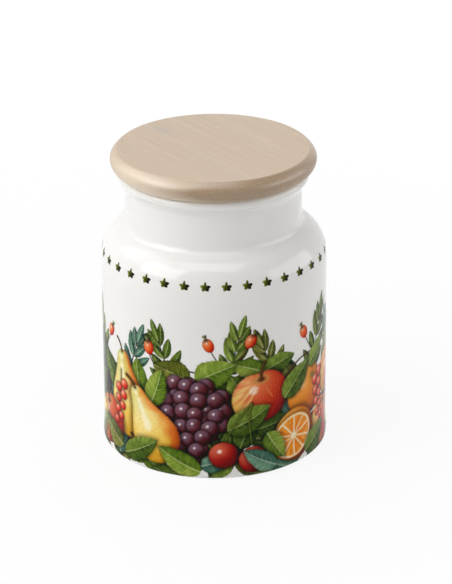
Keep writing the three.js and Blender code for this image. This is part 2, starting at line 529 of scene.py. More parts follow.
# A stroke that tapers along a quadratic curve from start to end, pulled towards bend
def stroke(sheet, start, bend, end, thick, inks, shadow=0.25, steps=60):
    t = np.linspace(0, 1, steps)[:, None]
    route = (1 - t) ** 2 * np.array(start) + 2 * t * (1 - t) * np.array(bend) + t ** 2 * np.array(end)
    middle = route.mean(0)
    route = route - middle
    where, _, _, dx, dy = patchAt(sheet, *middle, np.abs(route).max() + max(thick) + 2)
    gaps = np.hypot(dx[..., None] - route[:, 0], dy[..., None] - route[:, 1])
    nearest = gaps.argmin(-1)
    width = np.interp(nearest, [0, steps - 1], thick) / 2
    ahead = np.gradient(route, axis=0)[nearest]
    off = np.stack([dx, dy], -1) - route[nearest]
    across = ahead[..., 0] * off[..., 1] - ahead[..., 1] * off[..., 0]
    across = across / np.linalg.norm(ahead, axis=-1) / width
    tone = 0.5 + 0.42 * np.clip(across, -1, 1) + 0.2 * grain(nearest * 0.4 + start[0], across, 0.7)
    lay(sheet, where, width - gaps.min(-1), ramp(np.clip(tone, 0, 1), inks), shadow, 0.8)


leafLooks = {
    "green": {"inks": ["24330f", "3d531c", "607a2d", "8fa046", "bec271"], "vein": "bfc97c"},
    "fresh": {"inks": ["334714", "506b20", "758f33", "a2b051", "ced086"], "vein": "d4d890"},
    "olive": {"inks": ["2f370f", "4f571b", "797d33", "a2a150", "ccc580"], "vein": "d2d090"},
    "blue": {"inks": ["213f37", "3a6152", "5b8670", "86a88f", "b4caae"], "vein": "c2d5b8"},
    "deep": {"inks": ["17230b", "2a3c14", "445b22", "667c38", "92a057"], "vein": "93a55f"},
}


# A leaf from its stalk at s, h, pointing turn degrees up from the sheet's along axis. With u from 0 at
# the stalk to 1 at the tip, its half width goes as u to the power a times (1 - u) to the power b, and
# its axis bends by the square of u. Veins leave the midrib forwards, with the leaf's skin swelling
# between them.
def leaf(sheet, s, h, turn, length, width, look, bend=0.0, a=0.55, b=0.85, teeth=0, veins=7):
    where, x, y, dx, dy = patchAt(sheet, s, h, length * 1.12, turn)
    u = np.clip(x / length, 1e-4, 1 - 1e-4)
    v = y - bend * length * u * u
    half = width / 2 * u ** a * (1 - u) ** b / ((a / (a + b)) ** a * (b / (a + b)) ** b)
    if teeth:
        half = half * (1.07 - 0.07 * ((u * teeth) % 1))
    half = half * (1 + 0.05 * grain(u * 9 + s, np.sign(v) * 3.3 + h))
    beyond = np.hypot(np.maximum(np.abs(v) - half, 0), np.where(x < 0, x, x - length))
    inside = np.where((x > 0) & (x < length), half - np.abs(v), -beyond - 0.01)
    t = np.clip(np.abs(v) / np.maximum(half, 0.05), 0, 1)
    phase = u * veins - 0.375 * t * width / length * veins
    swell = np.cos(2 * np.pi * (phase - 0.5)) * np.sqrt(t * (1 - 0.6 * t))
    vein = np.exp(-(((phase + 0.5) % 1 - 0.5) / veins * length / 0.26) ** 2)
    vein = vein * (1 - t) ** 0.6 * smooth(0.02, 0.12, u)
    midrib = np.exp(-(v / (0.45 * (1 - 0.7 * u))) ** 2)
    side = np.tanh(v / 0.5)
    brush = 0.10 * grain(phase * 6.2 + s, t * 4.6 + side * 10) + 0.10 * grain(dx + s, dy + h, 2.6)
    edge = smooth(0.78, 1, t) * np.where(side > 0, 0.16, -0.14)
    tone = 0.43 + 0.14 * side + 0.13 * swell + brush + edge - 0.16 * np.exp(-(v / 1.3) ** 2)
    colour = ramp(np.clip(tone, 0, 1), leafLooks[look]["inks"])
    colour = mix(colour, srgb(leafLooks[look]["vein"]), 0.75 * midrib + 0.5 * vein * (1 - midrib))
    lay(sheet, where, inside * 0.9, colour)


def ball(sheet, s, h, radius, squash=1.0, turn=0.0):  # a round fruit before its skin is painted
    where, x, y, dx, dy = patchAt(sheet, s, h, radius * 1.15 + 2.5, turn)
    rho = np.hypot(x, y / squash)
    lit, mirror = modelled(np.sqrt(np.maximum(radius ** 2 - rho ** 2, 0.0)), dx, dy)
    return where, x, y, dx, dy, radius - rho, lit, mirror


# Red skin in streaks that run from the stalk's hollow over a yellow ground
def apple(sheet, s, h, radius, turn=0.0):
    where, x, y, dx, dy, inside, lit, mirror = ball(sheet, s, h, radius, 0.94, turn)
    spin = np.arctan2(x, y)
    topDent = 0.10 * np.exp(-(spin / 0.35) ** 2)
    footDent = 0.05 * np.exp(-((np.abs(spin) - np.pi) / 0.5) ** 2)
    inside = inside - radius * (topDent + footDent)
    hollowX, hollowY = 0.08 * radius, 0.60 * radius
    away = np.hypot(x - hollowX, (y - hollowY) * 1.8) / radius
    spoke = np.arctan2(x - hollowX, (y - hollowY) * 1.5)
    streak = grain(spoke * 9 + s, away * 1.6) * 0.6 + grain(spoke * 21 + s, away * 2.5) * 0.4
    blush = smooth(-0.65, 0.7, 0.9 * streak + 0.9 * x / radius + 0.5 + 0.25 * grain(dx, dy, 7))
    yellow = ramp(lit, ["5d3d0e", "9a6a1a", "cb9a33", "e8c05a", "f5dd8c"])
    red = ramp(lit, ["320705", "6a120c", "a42417", "c84427", "e57d50"])
    colour = mix(yellow, red, np.clip(0.14 + 0.95 * blush, 0, 1))
    colour = colour * (1 - 0.62 * np.exp(-(away / 0.16) ** 2))[..., None]
    colour = mix(colour, srgb("c9b25a"), 0.45 * np.exp(-((away - 0.22) / 0.09) ** 2) * (lit > 0.3))
    colour = mix(colour, srgb("efcf96"), 0.35 * smooth(0.28, 0.14, speckle(dx + s, dy, 2.1)))
    gleam = smooth(0.975, 0.999, mirror + 0.004 * grain(dx, dy, 1.2))
    colour = mix(colour, srgb("fff3df"), 0.7 * gleam)
    lay(sheet, where, inside, colour, 0.4, 2.0)
    c, n = np.cos(np.radians(turn)), np.sin(np.radians(turn))
    root = np.array([s + hollowX * c - hollowY * n, h + hollowX * n + hollowY * c])
    up, side = np.array([-n, c]) * radius, np.array([c, n]) * radius
    stroke(sheet, root, root + 0.3 * up, root + 0.55 * up + 0.2 * side, (1.0, 1.5), barkInks)


# Pitted skin, with the small star that the stalk leaves
def orange(sheet, s, h, radius):
    where, x, y, dx, dy, inside, lit, mirror = ball(sheet, s, h, radius)
    pores = smooth(0.5, 0.1, speckle(dx + s, dy, 0.95))
    tone = lit - 0.08 * pores * smooth(0.15, 0.6, lit) + 0.05 * grain(dx, dy, 5)
    colour = ramp(np.clip(tone, 0, 1), ["4f1a05", "8d390a", "c66113", "e38627", "f4b157"])
    colour = mix(colour, srgb("ffe9c0"), 0.55 * smooth(0.965, 0.999, mirror - 0.01 * pores))
    eyeX, eyeY = x - 0.35 * radius, y - 0.45 * radius
    eye = np.hypot(eyeX, eyeY)
    star = eye - 0.9 - 0.5 * np.cos(5 * np.arctan2(eyeY, eyeX))
    colour = colour * (1 - 0.35 * np.exp(-(eye / 2.4) ** 2))[..., None]
    colour = mix(colour, srgb("6b7a2e"), smooth(0.4, -0.3, star))
    lay(sheet, where, inside, colour, 0.4, 2.0)


# The cut face of an orange: rind, pith, and wedges of juice sacs between pale ribs
def halfOrange(sheet, s, h, radius, turn=0.0, squash=0.86, wedges=10):
    orange(sheet, s + 0.10 * radius, h + 0.06 * radius, radius * 1.02)
    where, x, y, dx, dy, inside, lit, _ = ball(sheet, s, h, radius, squash, turn)
    rho = 1 - inside / radius
    spoke = np.arctan2(y / squash, x)
    wedge = (spoke / (2 * np.pi) * wedges + 0.06 * np.sin(3 * spoke + s)) % 1 - 0.5
    rib = (0.5 - np.abs(wedge)) * 2 * np.pi / wedges * rho * radius
    juice = grain(spoke * 16 + s, rho * 4.5) * 0.6 + grain(spoke * 33, rho * 9) * 0.4
    pulpTone = np.clip(0.5 + 0.3 * juice + 0.25 * (rho - 0.5), 0, 1)
    pulp = ramp(pulpTone, ["a93608", "d46410", "ea8826", "f6b353", "fcd78a"])
    pith = ramp(np.clip(0.6 + 0.3 * grain(dx, dy, 1.5), 0, 1), ["e8cf9a", "f4e3ba", "fbf2d8"])
    flesh = np.minimum(np.minimum(rib - 0.32, (0.87 - rho) * radius), (rho - 0.13) * radius)
    colour = mix(pith, pulp, smooth(-0.15, 0.35, flesh))
    rind = ramp(np.clip(lit + 0.1 * juice, 0, 1), ["a04a0c", "d9781c", "f2a640"])
    lay(sheet, where, inside, mix(colour, rind, smooth(0.925, 0.95, rho)), 0.35, 1.2)


# A fruit from its base at s, h, pointing turn degrees, whose half width is a function of the share of
# its length. It swells as a half circle across.
def longFruit(sheet, s, h, turn, length, half):
    where, x, y, dx, dy = patchAt(sheet, s, h, length * 1.1, turn)
    w = half(np.clip(x / length, 0, 1))
    steps = 0.5 - 0.5 * np.cos(np.linspace(0, np.pi, 90))
    gaps = np.hypot(x[..., None] - steps * length, np.abs(y)[..., None] - half(steps))
    within = (x > 0) & (x < length) & (np.abs(y) < w)
    inside = np.where(within, 1, -1) * gaps.min(-1)
    lit, mirror = modelled(np.sqrt(np.maximum(w * w - y * y, 0)), dx, dy)
    return where, x, y, dx, dy, np.clip(x / length, 0, 1), w, inside, lit, mirror


# Half a circle for the belly, an S-curve to the narrow neck and a round crown
def pear(sheet, s, h, turn, length, girth):
    def half(u):
        belly = np.where(u < 0.36, np.sqrt(np.clip(1 - ((u - 0.36) / 0.36) ** 2, 0, 1)), 1)
        crown = np.where(u > 0.86, np.sqrt(np.clip(1 - ((u - 0.86) / 0.14) ** 2, 0, 1)), 1)
        return girth / 2 * belly * crown * (1 - 0.63 * smooth(0.36, 0.92, u))
    where, x, y, dx, dy, u, w, inside, lit, mirror = longFruit(sheet, s, h, turn, length, half)
    tone = np.clip(lit + 0.05 * grain(dx + s, dy, 3) + 0.03 * grain(dx, dy, 0.9), 0, 1)
    gold = ramp(tone, ["5c3d0b", "9c6e18", "d29c2f", "ecc358", "f8e397"])
    warm = ramp(tone, ["4f1507", "8c3011", "c3581f", "e0863f", "f0b470"])
    green = ramp(tone, ["36420f", "666f1e", "999b36", "c0be5b", "dfda95"])
    colour = mix(gold, green, 0.75 * smooth(0.45, 1.0, u + 0.12 * grain(dx, dy, 5)))
    blush = smooth(0.0, 0.8, -y / np.maximum(w, 0.1) + 0.35 * grain(dx + s, dy, 4))
    colour = mix(colour, warm, 0.9 * blush)
    dots = smooth(0.26, 0.12, speckle(dx + s, dy, 1.7)) * smooth(0.2, 0.6, lit)
    colour = mix(colour, srgb("8a5a1e"), 0.4 * dots)
    colour = mix(colour, srgb("fffbe6"), 0.6 * smooth(0.97, 0.999, mirror + 0.005 * grain(dx, dy, 1.3)))
    eye = np.hypot(x - 0.05 * length, y)
    colour = mix(colour, srgb("3b2a12"), 0.8 * smooth(1.7, 0.6, eye + 0.4 * grain(dx, dy, 0.8)))
    lay(sheet, where, inside, colour, 0.4, 2.0)
    ahead = np.array([np.cos(np.radians(turn)), np.sin(np.radians(turn))])
    aside = np.array([-ahead[1], ahead[0]])
    top = np.array([s, h]) + 0.97 * length * ahead
    stroke(sheet, top, top + 4 * ahead, top + 7 * ahead + 3 * aside, (1.3, 1.7), barkInks)


# A blunt oval with a nipple at its tip and a smaller one at its stalk
def lemon(sheet, s, h, turn, length, girth):
    def half(u):
        tip = 0.20 * np.sqrt(np.clip(1 - ((u - 0.9) / 0.1) ** 2, 0, 1))
        base = 0.14 * np.sqrt(np.clip(1 - ((u - 0.06) / 0.06) ** 2, 0, 1))
        return girth / 2 * np.maximum(np.clip(1 - ((u - 0.5) / 0.44) ** 2, 0, 1) ** 0.55, tip + base)
    where, _, _, dx, dy, u, _, inside, lit, mirror = longFruit(sheet, s, h, turn, length, half)
    pores = smooth(0.5, 0.1, speckle(dx + s, dy, 1.0))
    tone = np.clip(lit - 0.08 * pores + 0.05 * grain(dx, dy, 4), 0, 1)
    colour = ramp(tone, ["5f3e06", "a2740b", "d6a71d", "eecb45", "f9e88f"])
    colour = mix(colour, srgb("8f9a35"), 0.4 * smooth(0.8, 1.0, u))
    colour = mix(colour, srgb("fffbe0"), 0.6 * smooth(0.97, 0.999, mirror - 0.008 * pores))
    lay(sheet, where, inside, colour, 0.4, 1.8)


berryLooks = {
    "grape": {
        "inks": ["0d0506", "231012", "401a1e", "5f2e34", "87585c"],
        "gleam": "f6ecec",
        "bloom": "6f6480",
    },
    "cherry": {"inks": ["1d0304", "43070a", "771214", "a72a22", "d4634a"], "gleam": "fff1e6"},
    "currant": {"inks": ["520606", "94110d", "c42617", "df4d34", "f49572"], "gleam": "fff4ec"},
    "bramble": {"inks": ["0b0509", "1c0d17", "331928", "522f47", "806284"], "gleam": "ffffff"},
    "hip": {"inks": ["5f0c06", "9b1b0d", "c93518", "e36433", "f4a272"], "gleam": "fff0e0"},
}


# A small shining ball, paler along its shaded rim, with a dusty bloom on some
def berry(sheet, s, h, radius, look, squash=1.0, turn=0.0):
    skin = berryLooks[look]
    where, _, _, dx, dy, inside, lit, mirror = ball(sheet, s, h, radius, squash, turn)
    rim = smooth(0.55, 0.98, 1 - inside / radius) * smooth(0.45, 0.1, lit)
    tone = lit + 0.28 * rim + 0.05 * grain(dx + s, dy + h, radius * 0.5)
    colour = ramp(np.clip(tone, 0, 1), skin["inks"])
    if "bloom" in skin:
        haze = smooth(0.6, 0.98, lit + 0.22 * grain(dx + s, dy + h, radius * 0.45))
        colour = mix(colour, srgb(skin["bloom"]), 0.45 * haze)
    colour = mix(colour, srgb(skin["gleam"]), 0.85 * smooth(0.975, 0.998, mirror))
    lay(sheet, where, inside, colour, 0.45, max(0.5, radius * 0.16))


# Cherries at places off s, h, on stalks that meet at a knot
def cherries(sheet, s, h, radius, knot, places):
    for ds, dh in places:
        foot = (s + ds, h + dh + 0.8 * radius)
        bend = (s + 0.3 * ds + 0.3 * knot[0], h + 0.75 * knot[1])
        stroke(sheet, foot, bend, (s + knot[0], h + knot[1]), (0.7, 1.0), stalkInks)
        berry(sheet, s + ds, h + dh, radius, "cherry", 0.95)


def grapes(sheet, s, h, radius, rows, lean=0.0):  # rows that narrow downwards, the back layer first
    rng = np.random.default_rng(11)
    for layer in (0, 1):
        for row, count in enumerate(rows):
            for k in range(count - layer):
                x = (k - (count - layer - 1) / 2) * radius * 1.72
                y = -(row * 1.5 + 0.5 * layer) * radius
                dx, dy = rng.uniform(-0.28, 0.28, 2) * radius
                size = radius * rng.uniform(0.92, 1.06)
                berry(sheet, s + x + lean * y + dx, h + y + dy, size, "grape")


goldenAngle = 2.39996  # radians


# Drupelets packed as seeds are: each a golden angle on, as far out as the root of its number, rim first
def bramble(sheet, s, h, radius, tall, turn, drupelets=34):
    c, n = np.cos(np.radians(turn)), np.sin(np.radians(turn))
    for k in range(drupelets, 0, -1):
        spread, spin = np.sqrt((k - 0.5) / drupelets), goldenAngle * k
        x, y = radius * spread * np.cos(spin), tall * spread * np.sin(spin)
        berry(sheet, s + x * c - y * n, h + x * n + y * c, radius * (0.31 - 0.06 * spread), "bramble")


# A hanging string that sways by the square of its run, with berries left and right that get smaller
def currants(sheet, s, h, count, radius, sway):
    drop = count * radius * 1.15
    bend, end = (s + 0.2 * sway, h - 0.5 * drop), (s + sway, h - drop)
    stroke(sheet, (s, h + 3), bend, end, (0.7, 0.4), stalkInks)
    for k in range(count):
        t = (k + 1) / count
        side = (-1) ** k * radius * (0.95 - 0.35 * t)
        x, y = s + sway * t * t + side, h - drop * t - 0.4 * radius
        berry(sheet, x, y, radius * (1.1 - 0.3 * t), "currant")


# A long berry on a stalk from the twig at root, with three sepals at its tip
def hip(sheet, s, h, turn, radius, root):
    ahead = np.array([np.cos(np.radians(turn)), np.sin(np.radians(turn))])
    base = np.array([s, h]) - radius * ahead
    stroke(sheet, root, base - 4 * ahead, base + 0.4 * ahead, (0.9, 0.8), barkInks)
    berry(sheet, s, h, radius, "hip", 0.72, turn)
    tip = np.array([s, h]) + 0.92 * radius * ahead
    for spread in (-28, 0, 28):
        leaf(sheet, *tip, turn + spread, 0.7 * radius, 0.28 * radius, "olive", veins=2)


# A twig with leaves in pairs, and one at its tip
def spray(sheet, s, h, turn, length, pairs, size, look, bend=0.0, spread=48, slim=0.34):
    ahead = np.array([np.cos(np.radians(turn)), np.sin(np.radians(turn))])
    root = np.array([s, h])
    knee = root + 0.55 * length * ahead
    tip = root + length * ahead + bend * length * np.array([-ahead[1], ahead[0]])
    stroke(sheet, root, knee, tip, (1.5, 0.6), barkInks)
    for k in range(pairs):
        t = (k + 0.6) / pairs
        joint = (1 - t) ** 2 * root + 2 * t * (1 - t) * knee + t * t * tip
        grow = size * (0.75 + 0.5 * np.sin(np.pi * (0.25 + 0.6 * t)))
        for side in (-1, 1):
            heading = turn + np.degrees(np.arctan(2 * bend * t)) + side * (spread - 14 * t)
            heading = heading + 9 * np.sin(5.1 * k + side)
            reach = grow * (0.92 + 0.1 * np.sin(3 * k + side))
            leaf(sheet, *joint, heading, reach, grow * slim, look, -0.12 * side, 0.7, 0.8, veins=6)
    heading = turn + np.degrees(np.arctan(2 * bend))
    leaf(sheet, *tip, heading, size * 1.05, size * slim, look, 0.0, 0.7, 0.8, veins=6)


# Leaves in a row, with place, heading and size swaying as sines of their number
def leafRow(sheet, count, h, heading, sway, length, width, looks, phase):
    for k in range(count):
        s = (k + 0.5) * sheet["width"] / count + 2.5 * np.sin(2.9 * k + phase)
        turn = heading + sway * np.sin(1.9 * k + 2 * phase)
        size = 1 + 0.14 * np.sin(3.3 * k + phase)
        at = h + 3 * np.sin(2.3 * k + 1.7 * phase)
        look, bend = looks[k % len(looks)], 0.12 * np.sin(k + phase)
        leaf(sheet, s, at, turn, length * size, width * size, look, bend)


# Each row is a painter and its sizes: mm along the sheet from the front, mm above the table, and
# headings in degrees up from the sheet's along axis
def paintGarland(sheet):
    layers = (  # from the back to the front
        (spray, -72, 38, 98, 30, 4, 13, "fresh", 0.10),
        (spray, -47, 42, 82, 25, 4, 11.5, "blue", -0.12),
        (spray, -21, 44, 99, 27, 4, 11.5, "green", 0.10),
        (spray, 6, 46, 83, 29, 5, 11.5, "fresh", -0.08),
        (spray, 31, 44, 100, 24, 4, 11.5, "olive", 0.12),
        (spray, 57, 43, 83, 29, 4, 12.5, "green", -0.12),
        (spray, 80, 40, 96, 24, 4, 12, "blue", 0.10),
        (hip, -3, 71, 112, 3.9, (6, 56)),
        (hip, 17.5, 72, 64, 3.9, (8, 58)),
        (hip, 49, 69, 116, 3.9, (58, 54)),
        (hip, -62, 66, 60, 3.9, (-71, 52)),
        (hip, -33.5, 66, 100, 3.9, (-24, 52)),
        (hip, 88, 65, 66, 3.9, (80, 52)),
        (leafRow, 15, 36, 90, 50, 23, 14, ("green", "fresh", "blue", "deep", "olive"), 0.4),
        (leafRow, 13, 24, 60, 80, 20, 13, ("deep", "green", "deep", "blue"), 1.3),
        (leafRow, 19, 13, 90, 80, 17, 12, ("deep", "blue", "deep", "green"), 0.1),
        (leafRow, 17, 15, -80, 55, 15, 11.5, ("green", "olive", "deep", "fresh", "blue"), 2.2),
        (leafRow, 15, 5, 20, 70, 17, 10, ("deep", "green", "blue", "fresh"), 0.9),
        (leaf, 12, 16, 66, 17, 12, "deep", 0.1),
        (leaf, 20, 25, 4, 18, 12, "deep", 0.1),
        (stroke, (-34, 40), (-22, 63), (-6, 55), (1.6, 1.0), barkInks),
        (stroke, (34, 44), (42, 60), (60, 56), (1.6, 0.8), barkInks),
        (stroke, (-90, 44), (-84, 60), (-66, 54), (1.6, 0.8), barkInks),
        (bramble, -80, 42, 6.0, 6.8, 10),
        (bramble, -70, 36, 5.8, 6.4, -20),
        (apple, 79, 38, 14.5, -10),
        (leaf, 24, 55, 154, 18, 10, "fresh", 0.12),
        (leaf, 24, 55, 22, 19, 10.5, "green", -0.12),
        (apple, 23, 42, 15, 8),
        (orange, 52, 37, 14),
        (leaf, 53, 50, 30, 18, 10, "fresh", 0.1),
        (pear, -45, 14, 99, 46, 28),
        (leaf, -12, 52, 158, 20, 14, "olive", 0.1, 0.55, 0.85, 9),
        (leaf, -9, 52, 30, 21, 14.5, "fresh", -0.1, 0.55, 0.85, 9),
        (grapes, -11, 50, 4.4, [3, 5, 5, 5, 4, 3, 2], 0.08),
        (apple, -66, 17, 14.5, 16),
        (leaf, -33, 36, 66, 21, 12, "fresh", 0.1),
        (leaf, 36, 38, 48, 23, 13, "green", -0.1),
        (apple, 69, 15, 14, -12),
        (pear, -24, 7, 118, 41, 27),
        (halfOrange, 42, 16, 13.5, 20),
        (leaf, 6, 26, 20, 24, 14, "green", 0.1),
        (leaf, 26, 22, -62, 18, 11, "fresh", 0.1),
        (cherries, 11, 13, 7.2, (7, 26), [(-7, 0), (7.5, -3.5)]),
        (currants, 62, 47, 9, 2.7, 3),
        (currants, -53, 45, 8, 2.6, -3),
        (lemon, -96, 9, 16, 30, 20),
        (leaf, 31, 4, 155, 20, 10, "blue", -0.1),
        (leaf, -7, 4, 160, 24, 12, "fresh", -0.1),
        (leaf, 50, 5, 18, 22, 12, "green", 0.1),
        (leaf, -50, 5, 24, 24, 12, "green", 0.12),
        (leaf, -52, 8, 160, 21, 11, "olive", -0.1),
        (leaf, 84, 5, 25, 21, 11, "fresh", 0.1),
        (leaf, -84, 26, 40, 22, 13, "deep", 0.1),
    )
    for painter, *sizes in layers:
        painter(sheet, *sizes)


glareOverInk = 0.012  # linear light that the glaze's reflections add to the ink
leastInk = 0.001


# Stores ink and how far it covers the white, point by point. Ink is mixed as much darker as the glaze's
# reflections lighten it.
def inkPiece(piece, colour, cover):
    ink = piece.data.color_attributes.new("ink", "FLOAT_COLOR", "POINT")
    deep = np.maximum(linear(colour).reshape(-1, 3) - glareOverInk, leastInk)
    values = np.concatenate([deep, cover.reshape(-1, 1)], 1)
    ink.data.foreach_set("color", values.astype(np.float32).ravel())


# The painted sheet wrapped on the wall: along becomes turn, and up becomes run up the jar's outline
def makeTransfer(v):
    sheet = blankSheet(np.pi * jar["wallRadius"], v["low"], v["high"], v["pitch"])
    paintGarland(sheet)
    closed = np.append(np.arange(len(sheet["along"])), 0)  # the last column repeats the first
    along = np.append(sheet["along"], sheet["along"][0] + sheet["width"])
    colour, cover = sheet["colour"][:, closed], sheet["cover"][:, closed]
    faces = np.array(gridFaces(np.arange(cover.size).reshape(cover.shape)))
    faces = faces[cover.ravel()[faces].max(1) > v["leastCover"]]  # bare porcelain needs no film
    used = np.unique(faces)
    faces = np.searchsorted(used, faces)
    shares = np.linspace(0, 1, len(along)), np.linspace(0, 1, len(sheet["up"]))
    place = np.stack(np.meshgrid(*shares), -1)
    unrolled = place.reshape(-1, 2)[used][faces.ravel()]
    for name, offset in (("fruit_transfer_front", 0), ("fruit_transfer_back", sheet["width"])):
        s, run = np.meshgrid(along + offset, runAt(sheet["up"]))
        points = onWall(s, run, v["lift"]).reshape(-1, 3)[used]
        piece = newPiece(name, points, faces.tolist(), inGlazePrint)
        inkPiece(piece, colour.reshape(-1, 3)[used], cover.ravel()[used])
        flat = piece.data.uv_layers.new(name="OFBake")  # the sheet as it was before it was wrapped
        flat.data.foreach_set("uv", unrolled.ravel())
        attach(piece, "jar")
        print(name, len(piece.data.polygons), "faces")


inGlazePrint = glazedPorcelain("porcelain_with_inglaze_print", jar, True)
makeTransfer(fruitPrint)

# Border: a row of five-lobed leaves round the shoulder
leafBorder = {
    "count": 34,
    "height": 100.6,  # mm
    "firstTurn": -4.5,  # degrees from the front
    "size": 2.7,  # mm from the middle to the tip of the longest lobe
    "lobes": (  # degrees from the tip, length and half width as shares of the size
        (0, 0.95, 0.24),
        (78, 0.92, 0.32),
        (-72, 0.86, 0.3),
        (133, 0.81, 0.34),
        (-141, 0.77, 0.32),
    ),
    "core": 0.38,  # radius of the leaf's round middle, as a share of the size
    "tip": 0.1,  # how far a lobe is drawn out to a point
    "tipSpread": 0.1,  # radians of the lobe that are drawn out
    "spokes": 96,  # points round a leaf
    "rings": 6,
    "lift": 0.04,  # mm over the glaze
    "inks": ["1e1d03", "313207", "50560c", "838c26", "bac06f"],
}


# Each leaf is a fan of rings about its middle. Its outline is the farthest of the core and of an
# ellipse along each lobe: with the lobe's middle at c, half length a and half width b, the ray at angle
# t leaves the ellipse at the greater root of (r cos t - c)^2 / a^2 + (r sin t)^2 / b^2 = 1. Its ink is
# darker to the right, mottled, and paler at its edge and ribs.
def makeLeafBorder(v):
    spin = np.linspace(-np.pi, np.pi, v["spokes"] + 1)[:-1]
    outline = np.full(spin.shape, v["core"])
    for angle, length, b in v["lobes"]:
        off = (spin - np.radians(angle) + np.pi) % (2 * np.pi) - np.pi
        c, a = 0.52 * length, 0.5 * length
        square = (np.cos(off) / a) ** 2 + (np.sin(off) / b) ** 2
        half = c * np.cos(off) / a ** 2
        under = half ** 2 - square * (c * c / a ** 2 - 1)
        lobe = np.where((under > 0) & (half > 0), (half + np.sqrt(np.maximum(under, 0))) / square, 0)
        outline = np.maximum(outline, lobe * (1 + v["tip"] * np.exp(-(off / v["tipSpread"]) ** 2)))
    rings = np.linspace(0.02, 1, v["rings"])
    x = v["size"] * rings[:, None] * outline * np.sin(spin)
    y = v["size"] * rings[:, None] * outline * np.cos(spin)
    leaves = np.arange(v["count"])
    middle = np.radians(v["firstTurn"] + leaves * 360 / v["count"]) * jar["wallRadius"]
    along = middle[:, None, None] + x
    run = np.broadcast_to(runAt(v["height"]) + y, along.shape)
    points = onWall(along, run, v["lift"])
    index = np.arange(along.size).reshape(along.shape)
    faces = []
    for one in index:
        faces += gridFaces(one[::-1], True)
        faces.append(one[0][::-1].tolist())
    piece = newPiece("leaf_border", points, faces, inGlazePrint)
    tone = 0.36 - 0.15 * x + 0.03 * y + 0.12 * grain(x * 3, y * 3)
    tone = tone + 0.14 * smooth(0.7, 1, rings)[:, None]
    for angle, *_ in v["lobes"]:  # a pale rib along each lobe
        c, n = np.cos(np.radians(angle)), np.sin(np.radians(angle))
        tone = tone + 0.12 * np.exp(-((x * c - y * n) / 0.14) ** 2) * (x * n + y * c > 0.2)
    colour = np.broadcast_to(ramp(np.clip(tone, 0, 1), v["inks"]), points.shape)
    inkPiece(piece, colour, np.ones(along.shape))
    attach(piece, "jar")
    print("leaf border", v["count"], "leaves")


makeLeafBorder(leafBorder)

# Lid: a turned disc with a rounded edge, a plug that enters the neck and a groove round the plug, mm
lid = {
    "thickness": 11.0,
    "overhang": 3.75,
    "belly": 6.0,
    "lowerSweep": 76.0,  # degrees of the rounded edge below its widest line
    "round": 4.0,
    "roundSweep": 35.0,  # degrees, as is the bevel's
    "bevelSweep": 55.0,
    "arris": 0.2,  # width of the softened edge round the flat top
    "eased": 0.15,  # how far the plug's edges are rubbed down
    "plugDepth": 14.0,
    "plugClearance": 1.2,
    "plugChamfer": 1.0,
    "plugFlange": 3.2,
    "grooveHeight": 7.0,
    "grooveDepth": 3.2,
    "around": 256,
    "grainTurn": -54.0,  # degrees from +X, seen from above
    "stain": (-25.0, 23.0),  # middle of a faint grey stain in the wood
    "early": "c0a98e",
    "late": "aa9478",
    "warm": "b89d81",
    "sideGrainAndSheen": "dccab2",
    "endGrain": "86653c",
    "fleck": "957d62",
    "grey": "9c958e",
}
boreRadius = jar["neckRadius"] - jar["wall"]
lidRadius = jar["neckRadius"] + jar["lipOverhang"] + lid["overhang"]
plugRadius = boreRadius - lid["plugClearance"]
grooveRadius = plugRadius - lid["grooveDepth"]
grooveBottom = rimHeight - lid["plugDepth"] + lid["plugFlange"]
grooveTop = grooveBottom + lid["grooveHeight"]


# Out along the bottom of the plug, in and out of its groove, along the rim, round the edge in three
# arcs that run smoothly into one another, and in over the flat top
def lidOutline(v):
    lower = v["belly"] / np.sin(np.radians(v["lowerSweep"]))
    belly, top = rimHeight + v["belly"], rimHeight + v["thickness"]
    bottom = rimHeight - v["plugDepth"]
    start, end = np.radians(v["roundSweep"]), np.radians(v["bevelSweep"])
    bevel = (top - belly - v["round"] * np.sin(start)) / (np.sin(end) - np.sin(start))
    roundMiddle = (lidRadius - v["round"], belly)
    reach = bevel - v["round"]
    bevelMiddle = (roundMiddle[0] - reach * np.cos(start), belly - reach * np.sin(start))
    edge = joined(
        arc((lidRadius - lower, belly), lower, -v["lowerSweep"], 0, 4),
        arc(roundMiddle, v["round"], 0, v["roundSweep"], 5),
        arc(bevelMiddle, bevel, v["roundSweep"], v["bevelSweep"] - np.degrees(v["arris"] / bevel), 3),
    )
    flatRadius = bevelMiddle[0] + bevel * np.cos(end) - v["arris"]
    inwards = np.linspace(flatRadius - 3, 0, 12)
    flat = [(r, top) for r in (flatRadius, flatRadius - v["arris"], *inwards)]
    small = v["eased"]
    return joined(
        (0, bottom),
        (plugRadius - v["plugChamfer"] - small, bottom),
        (plugRadius - v["plugChamfer"], bottom + small / 2),
        (plugRadius - small / 2, bottom + v["plugChamfer"]),
        (plugRadius, bottom + v["plugChamfer"] + small),
        (plugRadius, grooveBottom - small),
        (plugRadius - small, grooveBottom),
        (grooveRadius + small, grooveBottom),
        (grooveRadius, grooveBottom + small),
        (grooveRadius, grooveTop - small),
        (grooveRadius + small, grooveTop),
        (plugRadius - small, grooveTop),
        (plugRadius, grooveTop + small),
        (plugRadius, rimHeight - small),
        (plugRadius + small, rimHeight),
        edge,
        flat,
    )
